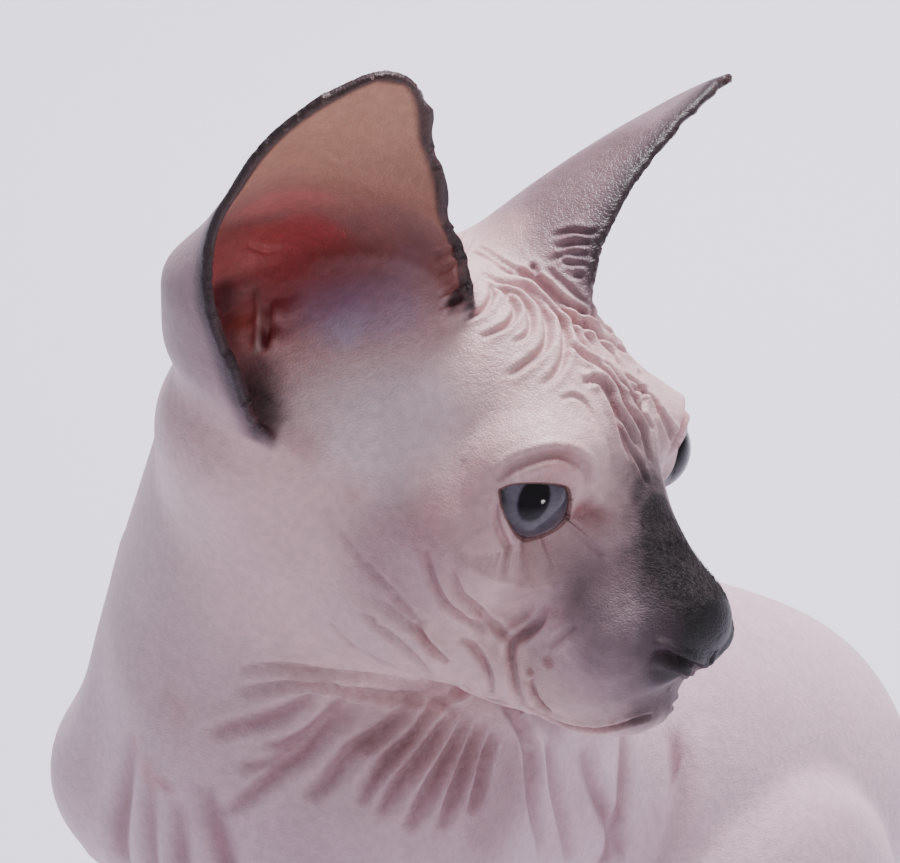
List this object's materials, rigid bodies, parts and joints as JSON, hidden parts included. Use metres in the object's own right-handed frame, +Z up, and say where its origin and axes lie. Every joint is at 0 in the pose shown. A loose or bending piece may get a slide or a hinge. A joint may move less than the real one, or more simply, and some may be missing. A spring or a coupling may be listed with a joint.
{
  "type": "cat model",
  "caption": "Life-size still model of a young hairless sphynx cat, sitting upright with its head turned to its left and its tail curled on the floor.",
  "frame": {"origin": "middle of the bounding box, on the floor under the cat", "axes": "+Z up, -Y the way the chest faces, +X the cat's left, which is also the way the head faces"},
  "size_m": [0.1812, 0.23, 0.2916],
  "materials": {
    "skin": "soft hairless skin, pink to lilac",
    "ear_skin": "thin hairless skin, warm brown inside",
    "eye": "wet and clear"
  },
  "bodies": {
    "root": {"head": "skin", "ear_right": "ear_skin", "ear_left": "ear_skin", "eye_right": "eye", "eye_left": "eye", "neck": "skin", "torso": "skin", "leg_front_right": "skin", "leg_front_left": "skin", "leg_hind_right": "skin", "leg_hind_left": "skin", "tail_base": "skin", "tail_middle": "skin", "tail_tip": "skin"}
  },
  "joints": []
}
